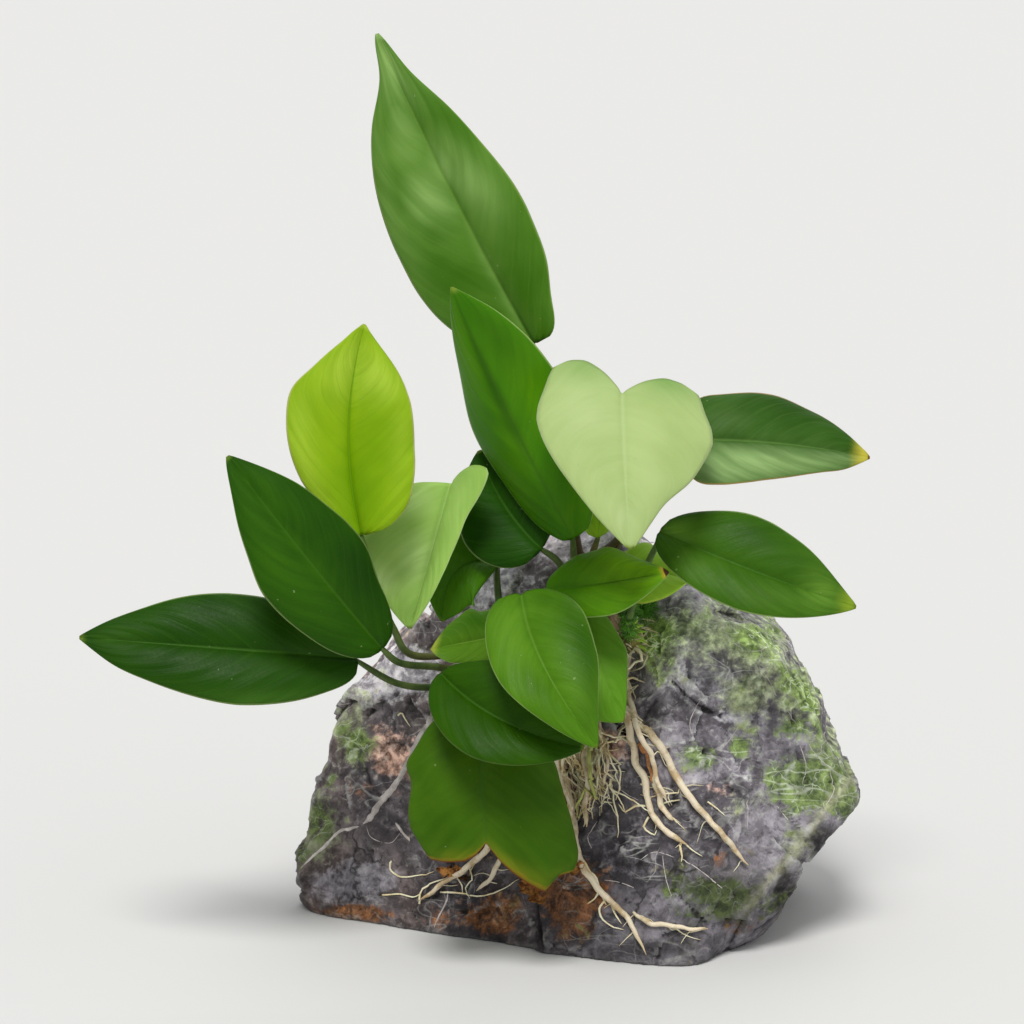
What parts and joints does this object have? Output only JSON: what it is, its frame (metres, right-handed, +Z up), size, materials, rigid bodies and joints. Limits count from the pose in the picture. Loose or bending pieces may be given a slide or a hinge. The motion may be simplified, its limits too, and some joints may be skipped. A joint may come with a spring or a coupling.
{
  "type": "aquarium plant on stone",
  "caption": "Broad-leaved aquarium plant that has grown onto a rough stone: leaves on stalks from a creeping rhizome, with pale roots running down the stone, which stands on its flat foot.",
  "frame": {"origin": "a point on the stone's flat foot, under the plant", "axes": "+X to the right and +Y away from the viewer as the plant is seen from its front, +Z up from the foot"},
  "size_m": [0.1679, 0.1213, 0.1966],
  "materials": {
    "mid_green": "satin",
    "dark_green": "satin",
    "pale_green": "satin",
    "lime": "satin",
    "olive_green": "satin",
    "stalk": "satin",
    "rhizome": "matte",
    "root": "matte",
    "moss": "matte",
    "stone": "matte"
  },
  "bodies": {
    "root": {"leaf_behind_right": "mid_green", "leaf_centre_right": "mid_green", "leaf_front": "mid_green", "leaf_heart": "pale_green", "leaf_left_lower": "dark_green", "leaf_left_upper": "dark_green", "leaf_low_back": "mid_green", "leaf_lower_centre": "dark_green", "leaf_lower_right": "mid_green", "leaf_olive": "olive_green", "leaf_pale": "pale_green", "leaf_right_lower": "dark_green", "leaf_right_upper": "mid_green", "leaf_shaded": "dark_green", "leaf_small_left": "mid_green", "leaf_tall": "dark_green", "leaf_top": "mid_green", "leaf_torn": "dark_green", "leaf_yellow": "lime", "moss_tuft": "moss", "rhizome": "rhizome", "rhizome_shoot": "rhizome", "root_1": "root", "root_10": "root", "root_11": "root", "root_12": "root", "root_13": "root", "root_2": "root", "root_3": "root", "root_4": "root", "root_5": "root", "root_6": "root", "root_7": "root", "root_8": "root", "root_9": "root", "stalk_behind_right": "stalk", "stalk_centre_right": "stalk", "stalk_front": "stalk", "stalk_heart": "stalk", "stalk_left_lower": "stalk", "stalk_left_upper": "stalk", "stalk_low_back": "stalk", "stalk_lower_centre": "stalk", "stalk_lower_right": "stalk", "stalk_olive": "stalk", "stalk_pale": "stalk", "stalk_right_lower": "stalk", "stalk_right_upper": "stalk", "stalk_shaded": "stalk", "stalk_small_left": "stalk", "stalk_tall": "stalk", "stalk_top": "stalk", "stalk_torn": "stalk", "stalk_yellow": "stalk", "stone": "stone"}
  },
  "joints": []
}
